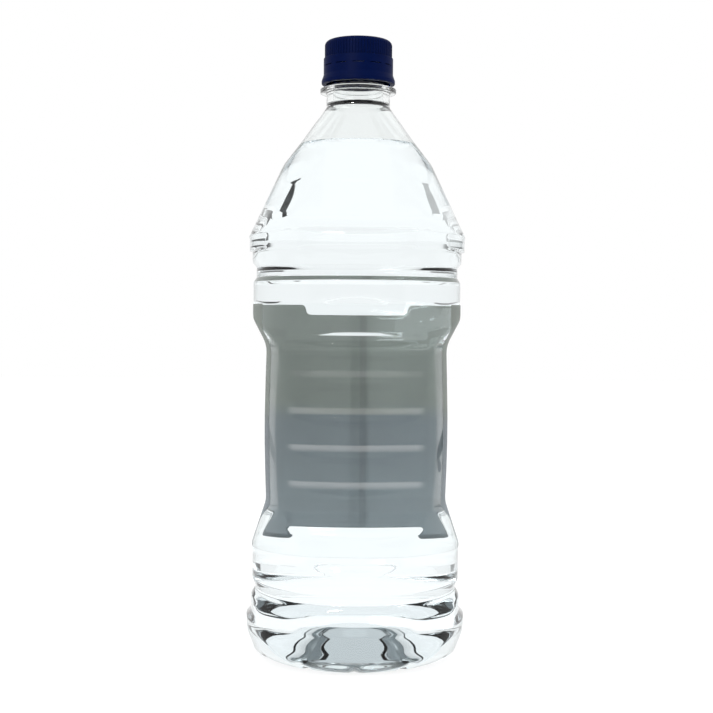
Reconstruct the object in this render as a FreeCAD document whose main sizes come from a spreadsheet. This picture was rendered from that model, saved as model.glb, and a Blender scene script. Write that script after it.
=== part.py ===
import FreeCAD, Part
import math
import os

import Sketcher

# A 1.8 litre shochu bottle in clear PET, standing on its foot ring.
# Millimetres, +Z up, the origin at the middle of the surface that it stands on.
# The shoulder, the belt, the waist and the base each have four faces, one to each side,
# and the faces are cut from a round envelope, so that a narrow land stays at each corner.

doc = FreeCAD.newDocument("shochu_bottle")

SIZES = (
    ("wall", "0.5", "wall of the blown body"),
    ("band_radius", "51.1", "radius of the two label bands and of the waist's corners"),
    ("band_top", "183.4", "upper edge of the upper label band"),
    ("shoulder_rise", "86.0", "from the upper band to where the neck starts"),
    ("neck_radius", "15.6", "radius of the neck under the support ring"),
    # the base
    ("heel_round", "14.6", "rounding from the foot ring to the base wall"),
    ("foot_width", "3.2", "width of the foot ring"),
    ("foot_round", "1.2", "rounding of the foot ring's inner edge"),
    ("dome_rise", "15.0", "height of the pushed-up middle of the base"),
    ("dome_radius", "13.0", "radius of the flat middle of the dome"),
    ("dome_foot_rise", "5.0", "height where the dome meets the foot"),
    ("dome_round", "5.0", "rounding inside the base"),
    ("crease_height", "33.2", "height of the crease above the base"),
    ("crease_round", "1.4", "rounding of the crease"),
    ("base_round", "5.0", "rounding of the base wall's top"),
    ("base_radius", "=band_radius + 4.3", "corner radius of the base"),
    ("base_top", "=crease_height - 7.2", "top of the base wall"),
    ("foot_inner_radius", "=base_radius - heel_round - foot_width", "inner edge of the foot ring"),
    ("dome_foot_radius", "=foot_inner_radius - 2.1", "radius where the dome meets the foot"),
    ("crease_radius", "=band_radius - 1.9", "radius of the crease above the base"),
    ("band_bottom", "=crease_height + 4.6", "lower edge of the lower label band"),
    ("band_round", "2.4", "rounding of the lower band's edge"),
    ("flute_radius", "4.0", "radius of a flute in the heel"),
    ("flute_depth", "1.4", "depth of a flute in the heel"),
    ("flute_length", "30.0", "length of the tool that cuts a flute"),
    ("flute_count", "12", "number of flutes round the heel"),
    ("flute_slope", "62.0", "angle below level at which a flute is deepest"),
    # the groove and the belt
    ("band_top_round", "1.2", "rounding of the upper band's edge"),
    ("groove_round", "0.9", "rounding of the groove under the belt"),
    ("belt_round", "3.0", "rounding of the belt's edges"),
    ("groove_radius", "=band_radius - 1.5", "radius of the groove under the belt"),
    ("groove_bottom", "=band_top + 2.2", "lower edge of the groove under the belt"),
    ("groove_top", "=band_top + 7.2", "upper edge of the groove under the belt"),
    ("belt_radius", "=band_radius + 4.5", "corner radius of the belt"),
    ("belt_bottom", "=band_top + 14.0", "lower edge of the belt"),
    ("belt_top", "=band_top + 22.6", "upper edge of the belt"),
    ("recess_depth", "0.8", "depth of the recess in each end face of the belt"),
    ("recess_angle", "64.0", "angle that the recess spans"),
    ("recess_bottom", "=belt_bottom + 0.8", "lower edge of that recess"),
    ("recess_top", "=belt_top - 0.8", "upper edge of that recess"),
    # the shoulder
    ("shoulder_round", "12.0", "rounding between the slopes of the shoulder"),
    ("neck_height", "=band_top + shoulder_rise", "height where the neck leaves the shoulder"),
    ("haunch_radius", "=band_radius + 1.1", "corner radius at the foot of the shoulder"),
    ("haunch_height", "=band_top + 31.9", "height of that corner radius"),
    ("rise_radius", "=band_radius - 5.7", "corner radius halfway up the shoulder"),
    ("rise_height", "=band_top + 46.3", "height of that corner radius"),
    ("cone_radius", "=neck_radius + 13.2", "radius of the cone under the neck"),
    ("cone_height", "=neck_height - 18.2", "height of that radius"),
    ("fill_height", "=neck_height - 19.2", "level of the shochu"),
    # the faces of the shoulder, the belt and the base
    ("shoulder_face_shift", "18.5", "how far a shoulder face's centre lies behind the axis"),
    ("face_top_depth", "=cone_radius + 2.9", "distance of a shoulder face from the axis at its top"),
    ("face_foot_depth", "=band_radius + 3.5", "distance of a shoulder face from the axis at its foot"),
    ("face_foot_height", "=belt_top - 3.2", "height of that distance"),
    ("bumper_face_shift", "10.0", "how far the centre of a belt or base face lies behind the axis"),
    ("bumper_face_depth", "=band_radius + 2.7", "distance of those faces from the axis"),
    ("base_face_low", "2.4", "height where a base face runs out in the heel"),
    ("base_face_low_depth", "=base_radius - 5.8", "distance of a base face from the axis at that height"),
    ("base_face_bend", "13.0", "height where a base face bends in to the heel"),
    ("base_face_round", "16.0", "rounding of a base face towards the heel"),
    # the four waist panels
    ("waist_shift", "40.7", "how far a waist panel's centre lies behind the axis"),
    ("waist_belly_round", "600.0", "rounding of a waist panel along its height"),
    ("waist_mid_depth", "=band_radius - 5.7", "distance of a waist panel from the axis at its middle"),
    ("waist_mid", "=(band_bottom + band_top) / 2", "height of a waist panel's middle"),
    # the side panels
    ("side_round", "14.0", "rounding of the ends of a side panel"),
    ("side_proud", "0.4", "how far a side panel's outline starts outside the bands"),
    ("side_in_depth", "=band_radius - 6.9", "distance of a side panel from the axis at its ends"),
    ("side_top", "=band_top - 16.9", "height where a side panel's upper ramp starts"),
    ("side_in_top", "=band_top - 30.9", "height where a side panel's upper ramp ends"),
    ("side_in_bottom", "=band_bottom + 36.2", "height where a side panel's lower ramp starts"),
    ("side_bottom", "=band_bottom + 14.2", "height where a side panel's lower ramp ends"),
    # the front and back panels, from their middle out to each end
    ("grip_foot", "=(band_top - band_bottom) / 2 - 33.3", "from the middle to the foot of a ramp"),
    ("grip_foot_depth", "=band_radius - 6.3", "distance of that foot from the axis"),
    ("grip_foot_round", "20.0", "rounding of that foot"),
    ("grip_turn", "=grip_foot + 21.0", "from the middle to where a ramp turns out to the band"),
    ("grip_turn_depth", "=band_radius - 2.05", "distance of that turn from the axis"),
    ("grip_turn_round", "3.0", "rounding of that turn"),
    ("grip_end", "=grip_turn + 4.4", "from the middle to the end of the panel's outline"),
    ("grip_proud", "0.6", "how far that end lies outside the bands"),
    # the ribs across the panels
    ("rib_depth", "1.1", "depth of a rib"),
    ("rib_width", "=front_rib_pitch * 0.32", "height of a rib"),
    ("rib_shift", "61.0", "how far a rib's centre lies behind the axis, which sets its length"),
    ("rib_over", "5.55", "from the foot of the upper ramp to the rib that breaks it"),
    ("rib_under", "1.7", "from the foot of the lower ramp to the rib that breaks it"),
    ("front_rib_count", "6", "ribs on the front and on the back"),
    ("front_rib_first", "=waist_mid - grip_foot - rib_under", "height of the lowest of them"),
    ("front_rib_last", "=waist_mid + grip_foot + rib_over", "height of the highest of them"),
    ("front_rib_pitch", "=(front_rib_last - front_rib_first) / (front_rib_count - 1)", "their spacing"),
    ("side_rib_count", "2", "ribs on each side"),
    ("side_rib_pitch", "=front_rib_pitch * 4 / 3", "spacing of those ribs"),
    ("side_rib_first", "=waist_mid - side_rib_pitch / 2", "height of the lower of them"),
    # the label
    ("film", "0.2", "thickness of the label film"),
    ("seam_width", "7.3", "width of the label's overlap at the back"),
    ("seam_shift", "1.2", "how far the overlap lies to the right of the middle"),
    ("label_bottom", "=band_bottom + 17.2", "lower edge of the label"),
    ("label_top", "=band_top - 10.8", "upper edge of the label"),
    # the neck
    ("neck_round", "2.4", "rounding where the neck leaves the shoulder"),
    ("ring_round", "0.5", "rounding of the support ring's rim"),
    ("ring_radius", "=neck_radius + 3.1", "radius of the support ring"),
    ("ring_bottom", "=neck_height + 7.1", "underside of the support ring"),
    ("ring_top", "=ring_bottom + 2.2", "top of the support ring"),
    ("finish_radius", "=neck_radius - 1.2", "radius of the neck finish inside the cap"),
    ("bead_radius", "=finish_radius + 0.9", "radius of the bead that holds the tamper band"),
    ("bead_bottom", "=ring_top + 4.9", "underside of that bead"),
    ("bead_top", "=bead_bottom + 2.0", "top of that bead"),
    ("lip_height", "=ring_top + 21.8", "height of the mouth's lip"),
    ("bore_radius", "=finish_radius - 1.9", "radius of the neck's bore"),
    ("bore_height", "=neck_height + 4.0", "height where the bore starts"),
    # the cap
    ("cap_clearance", "0.7", "gap between the neck finish and the cap"),
    ("band_clearance", "0.6", "gap between the bead and the tamper band"),
    ("cap_bore", "=finish_radius + cap_clearance", "inner radius of the cap"),
    ("band_bore", "=bead_radius + band_clearance", "inner radius of the tamper band"),
    ("cap_skirt_radius", "=cap_bore + 2.0", "radius of the cap's plain skirt"),
    ("cap_radius", "=cap_skirt_radius - 0.5", "radius of the cap at its top"),
    ("cap_rim_radius", "=cap_skirt_radius + 1.0", "radius of the tamper band's lower rim"),
    ("cap_top_height", "=lip_height + 1.8", "height of the cap's top"),
    ("cap_bottom", "=ring_top + 2.2", "lower edge of the tamper band"),
    ("cap_rim_height", "=cap_bottom + 1.7", "height of the flared rim"),
    ("cap_flare_height", "=cap_bottom + 4.5", "height where the tamper band starts to flare"),
    ("cap_score_height", "=cap_bottom + 8.6", "height of the score line over the tamper band"),
    ("cap_knurl_foot", "=cap_score_height + 4.1", "height where the grip ends above the skirt"),
    ("cap_round", "2.6", "rounding of the cap's top edge"),
    ("cap_edge_round", "0.5", "rounding of the cap's small edges"),
    ("knurl_count", "72", "number of grooves in the cap's grip"),
    ("knurl_depth", "0.35", "depth of a groove in the grip"),
    ("knurl_width", "0.8", "width of a groove in the grip"),
    ("score_gap", "0.4", "height of the slits over the tamper band"),
    ("score_span", "20.0", "angle of one slit"),
    ("score_count", "12", "number of slits and of the bridges between them"),
    # for cutting only
    ("clear_of", "12.0", "how far a cutting outline reaches outside the bottle"),
)

sheet = doc.addObject("Spreadsheet::Sheet", "sizes")
for row, (alias, value, meaning) in enumerate(SIZES, start=1):
    sheet.set("A%d" % row, meaning)
    sheet.set("B%d" % row, value)
    sheet.setAlias("B%d" % row, alias)
doc.recompute()


class Size:
    """A number together with the expression that ties it to the sheet."""

    def __init__(self, value, text):
        self.value = float(value)
        self.text = text

    def mixed(self, sign, other, value):
        text = other.text if isinstance(other, Size) else repr(other)
        return Size(value, "(%s %s %s)" % (self.text, sign, text))

    def __add__(self, other):
        if self is NONE:
            return other
        return self if other is NONE else self.mixed("+", other, self.value + number(other))

    def __sub__(self, other):
        return self if other is NONE else self.mixed("-", other, self.value - number(other))

    def __mul__(self, other):
        return self.mixed("*", other, self.value * number(other))

    def __truediv__(self, other):
        return self.mixed("/", other, self.value / number(other))


def number(size):
    return size.value if isinstance(size, Size) else float(size)


def size(alias):
    return Size(sheet.get(alias), "sizes.%s" % alias)


def sine(angle):
    return Size(math.sin(math.radians(angle.value)), "sin(%s)" % angle.text)


def cosine(angle):
    return Size(math.cos(math.radians(angle.value)), "cos(%s)" % angle.text)


NONE = Size(0.0, "0")


# ---------------------------------------------------------------- sketches


def origin_feature(body, role):
    return next(item for item in body.Origin.OriginFeatures if item.Role == role)


def new_sketch(body, name, role, shift=None, lift=None):
    """A sketch on one of the body's own planes, its origin moved sideways or along the normal."""
    sketch = body.newObject("Sketcher::SketchObject", name)
    sketch.AttachmentSupport = [(origin_feature(body, role), "")]
    sketch.MapMode = "FlatFace"
    if shift is not None:
        sketch.setExpression("AttachmentOffset.Base.x", shift.text)
    if lift is not None:
        sketch.setExpression("AttachmentOffset.Base.z", lift.text)
    return sketch


def hold(sketch, rules, geometry, point, kind, axis, amount):
    """Fixes one coordinate of a point, on the axis itself where the amount is nothing."""
    if amount is NONE:
        rules.append((Sketcher.Constraint("PointOnObject", geometry, point, axis), None))
    else:
        rule = Sketcher.Constraint(kind, geometry, point, amount.value)
        rules.append((rule, amount.text))


def apply_rules(sketch, rules):
    first = len(sketch.Constraints)
    sketch.addConstraint([rule for rule, _ in rules])
    for index, (_, text) in enumerate(rules, start=first):
        if text is not None:
            sketch.setExpression("Constraints[%d]" % index, text)


def draw_outline(sketch, corners):
    """A closed outline of straight runs, with a tangent arc at each corner that has a radius."""
    points = [FreeCAD.Vector(x.value, y.value, 0) for x, y, _ in corners]
    count = len(corners)
    starts, ends, arcs = [None] * count, [None] * count, {}
    for i, (_, _, round_) in enumerate(corners):
        here = points[i]
        back = (points[i - 1] - here).normalize()
        on = (points[(i + 1) % count] - here).normalize()
        if round_ is None:
            ends[i - 1] = here
            starts[i] = here
            continue
        half = back.getAngle(on) / 2
        reach = round_.value / math.tan(half)
        ends[i - 1] = here + back * reach
        starts[i] = here + on * reach
        middle = here + (back + on).normalize() * (round_.value / math.sin(half))
        arcs[i] = (middle, back.cross(on).z < 0)
    lines = sketch.addGeometry([Part.LineSegment(starts[i], ends[i]) for i in range(count)], False)
    rules = []
    for i, (x, y, round_) in enumerate(corners):
        if round_ is None:
            rules.append((Sketcher.Constraint("Coincident", lines[i - 1], 2, lines[i], 1), None))
            hold(sketch, rules, lines[i], 1, "DistanceX", -2, x)
            hold(sketch, rules, lines[i], 1, "DistanceY", -1, y)
            continue
        middle, turns_left = arcs[i]
        circle = Part.Circle(middle, FreeCAD.Vector(0, 0, 1), round_.value)
        first, last = (ends[i - 1], starts[i]) if turns_left else (starts[i], ends[i - 1])
        angles = [math.atan2(p.y - middle.y, p.x - middle.x) for p in (first, last)]
        if angles[1] < angles[0]:
            angles[1] += 2 * math.pi
        arc = sketch.addGeometry(Part.ArcOfCircle(circle, angles[0], angles[1]), False)
        near, far = (1, 2) if turns_left else (2, 1)
        corner = sketch.addGeometry(Part.Point(points[i]), True)
        rules.append((Sketcher.Constraint("Tangent", lines[i - 1], 2, arc, near), None))
        rules.append((Sketcher.Constraint("Tangent", arc, far, lines[i], 1), None))
        rules.append((Sketcher.Constraint("Radius", arc, round_.value), round_.text))
        rules.append((Sketcher.Constraint("PointOnObject", corner, 1, lines[i - 1]), None))
        rules.append((Sketcher.Constraint("PointOnObject", corner, 1, lines[i]), None))
        hold(sketch, rules, corner, 1, "DistanceX", -2, x)
        hold(sketch, rules, corner, 1, "DistanceY", -1, y)
    apply_rules(sketch, rules)


def draw_circle(sketch, x, y, radius):
    circle = Part.Circle(FreeCAD.Vector(x.value, y.value, 0), FreeCAD.Vector(0, 0, 1), radius.value)
    geometry = sketch.addGeometry(circle, False)
    rules = [(Sketcher.Constraint("Radius", geometry, radius.value), radius.text)]
    hold(sketch, rules, geometry, 3, "DistanceX", -2, x)
    hold(sketch, rules, geometry, 3, "DistanceY", -1, y)
    apply_rules(sketch, rules)


# ---------------------------------------------------------------- features


def turned(body, name, corners):
    """A solid turned about the body's Z axis."""
    sketch = new_sketch(body, name + "_outline", "XZ_Plane")
    draw_outline(sketch, corners)
    feature = body.newObject("PartDesign::Revolution", name)
    feature.Profile = sketch
    feature.ReferenceAxis = (sketch, ["V_Axis"])
    feature.Angle = 360
    doc.recompute()
    return feature


def around(body, feature, count):
    """Repeats a cut evenly round the Z axis."""
    pattern = body.newObject("PartDesign::PolarPattern", feature.Name + "_around")
    pattern.Originals = [feature]
    pattern.Axis = (origin_feature(body, "Z_Axis"), [""])
    pattern.Angle = 360
    pattern.Occurrences = int(number(count))
    if isinstance(count, Size):
        pattern.setExpression("Occurrences", count.text)
    body.Tip = pattern
    doc.recompute()
    return pattern


def turned_cut(body, sketch, name, angle=None):
    """A cut turned about the sketch's own upright axis; it has to take something away."""
    before = body.Shape.Volume
    feature = body.newObject("PartDesign::Groove", name)
    feature.Profile = sketch
    feature.ReferenceAxis = (sketch, ["V_Axis"])
    feature.Angle = 360
    if angle is not None:
        feature.Midplane = True
        feature.setExpression("Angle", angle.text)
    doc.recompute()
    if feature.Shape.Volume >= before:
        raise RuntimeError("%s in %s cuts nothing" % (name, body.Name))
    return feature


def straight_cut(body, sketch, name, length=None):
    """A cut along the sketch's normal, up through all or of a length centred on the sketch."""
    before = body.Shape.Volume
    feature = body.newObject("PartDesign::Pocket", name)
    feature.Profile = sketch
    if length is None:
        feature.Type = "ThroughAll"
        feature.Reversed = True
    else:
        feature.Midplane = True
        feature.setExpression("Length", length.text)
    doc.recompute()
    if feature.Shape.Volume >= before:
        raise RuntimeError("%s in %s cuts nothing" % (name, body.Name))
    return feature


def face_cut(body, name, shift, corners, count=4, angle=None, role="XZ_Plane"):
    """Cuts the same curved face on several sides of the body.

    The corners give distances from the bottle's axis. The face is turned about an upright
    line that lies further back by the shift, so it is flatter than the round envelope.
    """
    sketch = new_sketch(body, name + "_outline", role, shift=shift * -1)
    draw_outline(sketch, [(x + shift, y, round_) for x, y, round_ in corners])
    around(body, turned_cut(body, sketch, name, angle), count)


# ---------------------------------------------------------------- the blown form


def envelope(inset):
    """The round envelope from the dome to the fill level, drawn inwards by the inset."""
    base_r = size("base_radius") - inset
    band_r = size("band_radius") - inset
    groove_r = size("groove_radius") - inset
    belt_r = size("belt_radius") - inset
    slope = size("shoulder_round")
    return [
        (NONE, size("dome_rise") + inset, None),
        (size("dome_radius"), size("dome_rise") + inset, size("dome_round")),
        (size("dome_foot_radius") + inset, size("dome_foot_rise") + inset, size("dome_round")),
        (size("foot_inner_radius") + inset, NONE + inset, size("foot_round")),
        (base_r, NONE + inset, size("heel_round") - inset),
        (base_r, size("base_top"), size("base_round")),
        (size("crease_radius") - inset, size("crease_height"), size("crease_round")),
        (band_r, size("band_bottom"), size("band_round")),
        (band_r, size("band_top"), size("band_top_round")),
        (groove_r, size("groove_bottom"), size("groove_round")),
        (groove_r, size("groove_top"), size("groove_round")),
        (belt_r, size("belt_bottom"), size("belt_round")),
        (belt_r, size("belt_top"), size("belt_round")),
        (size("haunch_radius") - inset, size("haunch_height"), slope),
        (size("rise_radius") - inset, size("rise_height"), slope),
        (size("cone_radius") - inset, size("cone_height"), slope),
        (size("neck_radius") - inset, size("neck_height"), size("neck_round")),
    ]


def outside():
    return size("belt_radius") + size("clear_of")


def shoulder_face(inset):
    top = size("cone_height")
    foot = size("face_foot_height")
    return [
        (size("face_top_depth") - inset, top, None),
        (size("face_foot_depth") - inset, foot, None),
        (outside(), foot, None),
        (outside(), top, None),
    ]


def belt_face(inset):
    depth = size("bumper_face_depth") - inset
    return [
        (depth, size("groove_bottom"), None),
        (outside(), size("groove_bottom"), None),
        (outside(), size("haunch_height"), None),
        (depth, size("haunch_height"), None),
    ]


def side_panel(inset):
    """A side panel's upright line, which starts just outside the bands and bellies at the middle."""
    proud = size("band_radius") + size("side_proud") - inset
    inner = size("side_in_depth") - inset
    round_ = size("side_round")
    return [
        (proud, size("band_top"), None),
        (proud, size("side_top"), round_),
        (inner, size("side_in_top"), round_),
        (size("waist_mid_depth") - inset, size("waist_mid"), size("waist_belly_round")),
        (inner, size("side_in_bottom"), round_),
        (proud, size("side_bottom"), round_),
        (proud, size("band_bottom"), None),
        (outside(), size("band_bottom"), None),
        (outside(), size("band_top"), None),
    ]


def grip_panel(inset):
    """The upright line of the front and back panels, the same above and below their middle."""
    middle = size("waist_mid")
    half = [
        (outside(), size("grip_end"), None),
        (size("band_radius") + size("grip_proud") - inset, size("grip_end"), None),
        (size("grip_turn_depth") - inset, size("grip_turn"), size("grip_turn_round")),
        (size("grip_foot_depth") - inset, size("grip_foot"), size("grip_foot_round")),
    ]
    belly = (size("waist_mid_depth") - inset, middle, size("waist_belly_round"))
    upper = [(x, middle + y, round_) for x, y, round_ in half]
    lower = [(x, middle - y, round_) for x, y, round_ in reversed(half)]
    return upper + [belly] + lower


def cut_panels(body, name, inset):
    """Cuts the two side panels and then the front and back ones."""
    shift = size("waist_shift")
    face_cut(body, name + "_side", shift, side_panel(inset), 2)
    face_cut(body, name + "_grip", shift, grip_panel(inset), 2, role="YZ_Plane")


def base_face(inset):
    depth = size("bumper_face_depth") - inset
    low = size("base_face_low")
    return [
        (size("base_face_low_depth") - inset, low, None),
        (outside(), low, None),
        (outside(), size("crease_height"), None),
        (depth, size("crease_height"), None),
        (depth, size("base_face_bend"), size("base_face_round")),
    ]


def belt_recess(inset):
    depth = size("bumper_face_depth") - size("recess_depth") - inset
    low = size("recess_bottom") - inset
    high = size("recess_top") + inset
    return [(depth, low, None), (outside(), low, None), (outside(), high, None), (depth, high, None)]


def cut_ribs(body, side, role, inset):
    """Round-bottomed ribs across two opposite waist panels, running out towards the corners."""
    depth = size("rib_depth")
    width = size("rib_width")
    radius = (width * width / 4 + depth * depth) / (depth * 2)
    shift = size("rib_shift")
    reach = size("waist_mid_depth") - depth + radius + shift
    sketch = new_sketch(body, side + "_rib_outline", role, shift=shift * -1)
    for index in range(int(size(side + "_rib_count").value)):
        height = size(side + "_rib_first") + size(side + "_rib_pitch") * index
        draw_circle(sketch, reach, height, radius + inset)
    around(body, turned_cut(body, sketch, side + "_rib"), 2)


def cut_flutes(body, inset):
    """Short straight flutes round the heel, deepest where it turns under, clear of the foot ring."""
    slope = size("flute_slope")
    heel_in = size("base_radius") - size("heel_round")
    heel_up = size("heel_round")
    away = size("heel_round") - size("flute_depth") + size("flute_radius")
    along = heel_in * sine(slope) + heel_up * cosine(slope)
    below = heel_in * cosine(slope) - heel_up * sine(slope) + away
    sketch = new_sketch(body, "flute_outline", "YZ_Plane")
    sketch.AttachmentOffset = FreeCAD.Placement(
        FreeCAD.Vector(), FreeCAD.Rotation(FreeCAD.Vector(-1, 0, 0), 90 - slope.value)
    )
    sketch.setExpression("AttachmentOffset.Rotation.Angle", "90 - %s" % slope.text)
    sketch.setExpression("AttachmentOffset.Base.y", (along * cosine(slope)).text)
    sketch.setExpression("AttachmentOffset.Base.z", (along * sine(slope)).text)
    draw_circle(sketch, NONE, below * -1, size("flute_radius") + inset)
    around(body, straight_cut(body, sketch, "flute", size("flute_length")), size("flute_count"))


def blown_form(name, inset, ending):
    """The bottle's outer form, or its cavity, where the inset is the wall."""
    body = doc.addObject("PartDesign::Body", name)
    turned(body, "envelope", envelope(inset) + ending)
    face_cut(body, "shoulder_face", size("shoulder_face_shift"), shoulder_face(inset))
    face_cut(body, "belt_face", size("bumper_face_shift"), belt_face(inset))
    face_cut(body, "base_face", size("bumper_face_shift"), base_face(inset))
    cut_panels(body, "waist", inset)
    recess_angle = size("recess_angle") + inset * 2
    face_cut(body, "recess", size("bumper_face_shift"), belt_recess(inset), 2, recess_angle)
    cut_ribs(body, "front", "YZ_Plane", inset)
    cut_ribs(body, "side", "XZ_Plane", inset)
    cut_flutes(body, inset)
    return body


# ---------------------------------------------------------------- the pieces


def neck_finish():
    """The support ring, the finish that the cap screws on and the bead under its tamper band."""
    body = doc.addObject("PartDesign::Body", "neck_finish")
    neck = size("neck_radius")
    finish = size("finish_radius")
    ring = size("ring_radius")
    bead = size("bead_radius")
    turned(
        body,
        "finish",
        [
            (NONE, size("neck_height"), None),
            (neck - size("wall"), size("neck_height"), None),
            (neck, size("ring_bottom") - size("neck_round"), None),
            (neck, size("ring_bottom"), size("ring_round")),
            (ring, size("ring_bottom"), size("ring_round")),
            (ring, size("ring_top"), size("ring_round")),
            (finish, size("ring_top"), size("ring_round")),
            (finish, size("bead_bottom"), None),
            (bead, size("bead_bottom"), size("ring_round")),
            (finish, size("bead_top"), None),
            (finish, size("lip_height"), size("ring_round")),
            (NONE, size("lip_height"), None),
        ],
    )
    return body


def boolean(kind, label, first, second):
    """Joins, cuts or intersects two objects; only labelled results are sub-parts."""
    result = doc.addObject(kind, label)
    result.Label = label
    result.Base = first
    result.Tool = second
    result.Refine = False
    doc.recompute()
    return result


def make_bottle(cavity):
    neck_end = [
        (size("neck_radius"), size("ring_bottom"), None),
        (NONE, size("ring_bottom"), None),
    ]
    outer = blown_form("outer_form", NONE, neck_end)
    whole = boolean("Part::Fuse", "whole_form", outer, neck_finish())
    return boolean("Part::Cut", "bottle", whole, cavity)


def make_cavity():
    """The space inside, up through the bore and out past the lip."""
    above = size("lip_height") + size("clear_of")
    bore_end = [
        (size("bore_radius"), size("bore_height"), size("neck_round")),
        (size("bore_radius"), above, None),
        (NONE, above, None),
    ]
    return blown_form("cavity", size("wall"), bore_end)


def make_shochu(cavity):
    """What fills the bottle: the cavity up to the fill level."""
    level = doc.addObject("Part::Cylinder", "below_level")
    level.setExpression("Radius", outside().text)
    level.setExpression("Height", size("fill_height").text)
    return boolean("Part::Common", "shochu", cavity, level)


def film_form(name, inset, overrun):
    """A sleeve's solid outline, which follows the bands and the waist panels."""
    body = doc.addObject("PartDesign::Body", name)
    radius = size("band_radius") - inset
    low = size("label_bottom") - overrun
    high = size("label_top") + overrun
    turned(body, "sleeve", [(NONE, low, None), (radius, low, None), (radius, high, None), (NONE, high, None)])
    cut_panels(body, "sleeve", inset)
    return body


def make_label():
    """A thin film round the bands and the waist, with its ends overlapped at the back."""
    film = size("film")
    single = film_form("film_single", film * -1, NONE)
    double = film_form("film_double", film * -2, NONE)
    strip = doc.addObject("Part::Box", "seam_strip")
    strip.setExpression("Length", size("seam_width").text)
    strip.setExpression("Width", outside().text)
    strip.setExpression("Height", size("label_top").text)
    strip.setExpression("Placement.Base.x", (size("seam_shift") - size("seam_width") / 2).text)
    seam = boolean("Part::Common", "film_seam", double, strip)
    whole = boolean("Part::Fuse", "film_whole", single, seam)
    return boolean("Part::Cut", "label", whole, film_form("film_inside", NONE, size("film")))


def make_cap():
    """The screw cap with its gripped top, plain skirt and flared tamper band on a score line."""
    body = doc.addObject("PartDesign::Body", "cap")
    skirt = size("cap_skirt_radius")
    rim = size("cap_rim_radius")
    score = size("cap_score_height")
    turned(
        body,
        "shell",
        [
            (NONE, size("cap_top_height"), None),
            (NONE, size("lip_height"), None),
            (size("cap_bore"), size("lip_height"), None),
            (size("cap_bore"), score, None),
            (size("band_bore"), score - size("score_gap"), None),
            (size("band_bore"), size("cap_bottom"), None),
            (rim, size("cap_bottom"), size("cap_edge_round")),
            (rim, size("cap_rim_height"), size("cap_edge_round")),
            (skirt, size("cap_flare_height"), None),
            (skirt, size("cap_knurl_foot"), size("cap_edge_round") / 2),
            (size("cap_radius"), size("cap_knurl_foot"), None),
            (size("cap_radius"), size("cap_top_height"), size("cap_round")),
        ],
    )
    depth = size("knurl_depth")
    width = size("knurl_width")
    radius = (width * width / 4 + depth * depth) / (depth * 2)
    grip = new_sketch(body, "grip_outline", "XY_Plane", lift=size("cap_knurl_foot"))
    draw_circle(grip, size("cap_radius") - depth + radius, NONE, radius)
    around(body, straight_cut(body, grip, "grip"), size("knurl_count"))
    slit = new_sketch(body, "slit_outline", "XZ_Plane")
    low = score - size("score_gap") / 2
    high = score + size("score_gap") / 2
    inner = size("cap_bore") - size("score_gap")
    outer = rim + size("score_gap")
    draw_outline(slit, [(inner, low, None), (outer, low, None), (outer, high, None), (inner, high, None)])
    cut = turned_cut(body, slit, "slit", size("score_span"))
    around(body, cut, size("score_count"))
    return body


# ---------------------------------------------------------------- checks and files


def check_and_write(pieces):
    """Refuses a failed feature or an unsound shape, then writes one file a piece."""
    doc.recompute()
    failed = [item.Name for item in doc.Objects if {"Invalid", "Error"} & set(item.State)]
    if failed:
        raise RuntimeError("failed features: " + ", ".join(failed))
    for piece in pieces:
        shape = piece.Shape
        if shape.isNull() or not shape.isValid() or len(shape.Solids) != 1:
            raise RuntimeError("%s isn't one sound solid" % piece.Label)
    os.makedirs("parts", exist_ok=True)
    for piece in pieces:
        piece.Shape.exportStep("parts/%s.step" % piece.Label)
        litres = piece.Shape.Volume / 1e6
        print("%-8s %d faces, %.4f litres" % (piece.Label, len(piece.Shape.Faces), litres))


cavity = make_cavity()
bottle = make_bottle(cavity)
shochu = make_shochu(cavity)
label = make_label()
cap = make_cap()
check_and_write((bottle, shochu, label, cap))
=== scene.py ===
"""A large clear shochu bottle with a far-side label and a navy screw cap, in a white studio."""

import logging
import math
from collections.abc import Iterable
from dataclasses import dataclass, field, replace
from enum import Enum

import bmesh
import bpy
import numpy as np
from mathutils import Matrix, Vector

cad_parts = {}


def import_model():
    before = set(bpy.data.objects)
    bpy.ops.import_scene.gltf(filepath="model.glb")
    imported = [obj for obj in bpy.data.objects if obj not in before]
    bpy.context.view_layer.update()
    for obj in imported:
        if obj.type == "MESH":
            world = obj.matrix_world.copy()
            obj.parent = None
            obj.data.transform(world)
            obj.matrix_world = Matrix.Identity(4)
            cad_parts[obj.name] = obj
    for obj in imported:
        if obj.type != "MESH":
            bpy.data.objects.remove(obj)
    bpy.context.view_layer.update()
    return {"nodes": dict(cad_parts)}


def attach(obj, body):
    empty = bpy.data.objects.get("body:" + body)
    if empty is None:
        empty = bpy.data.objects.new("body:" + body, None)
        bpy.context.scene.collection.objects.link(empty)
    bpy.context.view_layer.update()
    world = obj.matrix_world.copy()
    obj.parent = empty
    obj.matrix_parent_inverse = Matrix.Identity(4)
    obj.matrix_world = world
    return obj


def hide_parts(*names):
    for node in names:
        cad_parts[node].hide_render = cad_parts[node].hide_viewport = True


LOG = logging.getLogger("bottle")
MM = 0.001
FAR = 500.0  # mm, past every face of the bottle
Corner = tuple[float, float, float]
Colour = tuple[float, float, float]
Span = tuple[float, float]
Array = np.ndarray
Vert = bmesh.types.BMVert
Piece = bpy.types.Object
Material = bpy.types.Material
Node = bpy.types.Node
Socket = bpy.types.NodeSocket


class Side(Enum):
    """The direction that a face of the bottle looks, as an azimuth in degrees from +X."""

    RIGHT = 0.0
    BACK = 90.0
    LEFT = 180.0
    FRONT = 270.0


# ---- outlines


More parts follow.
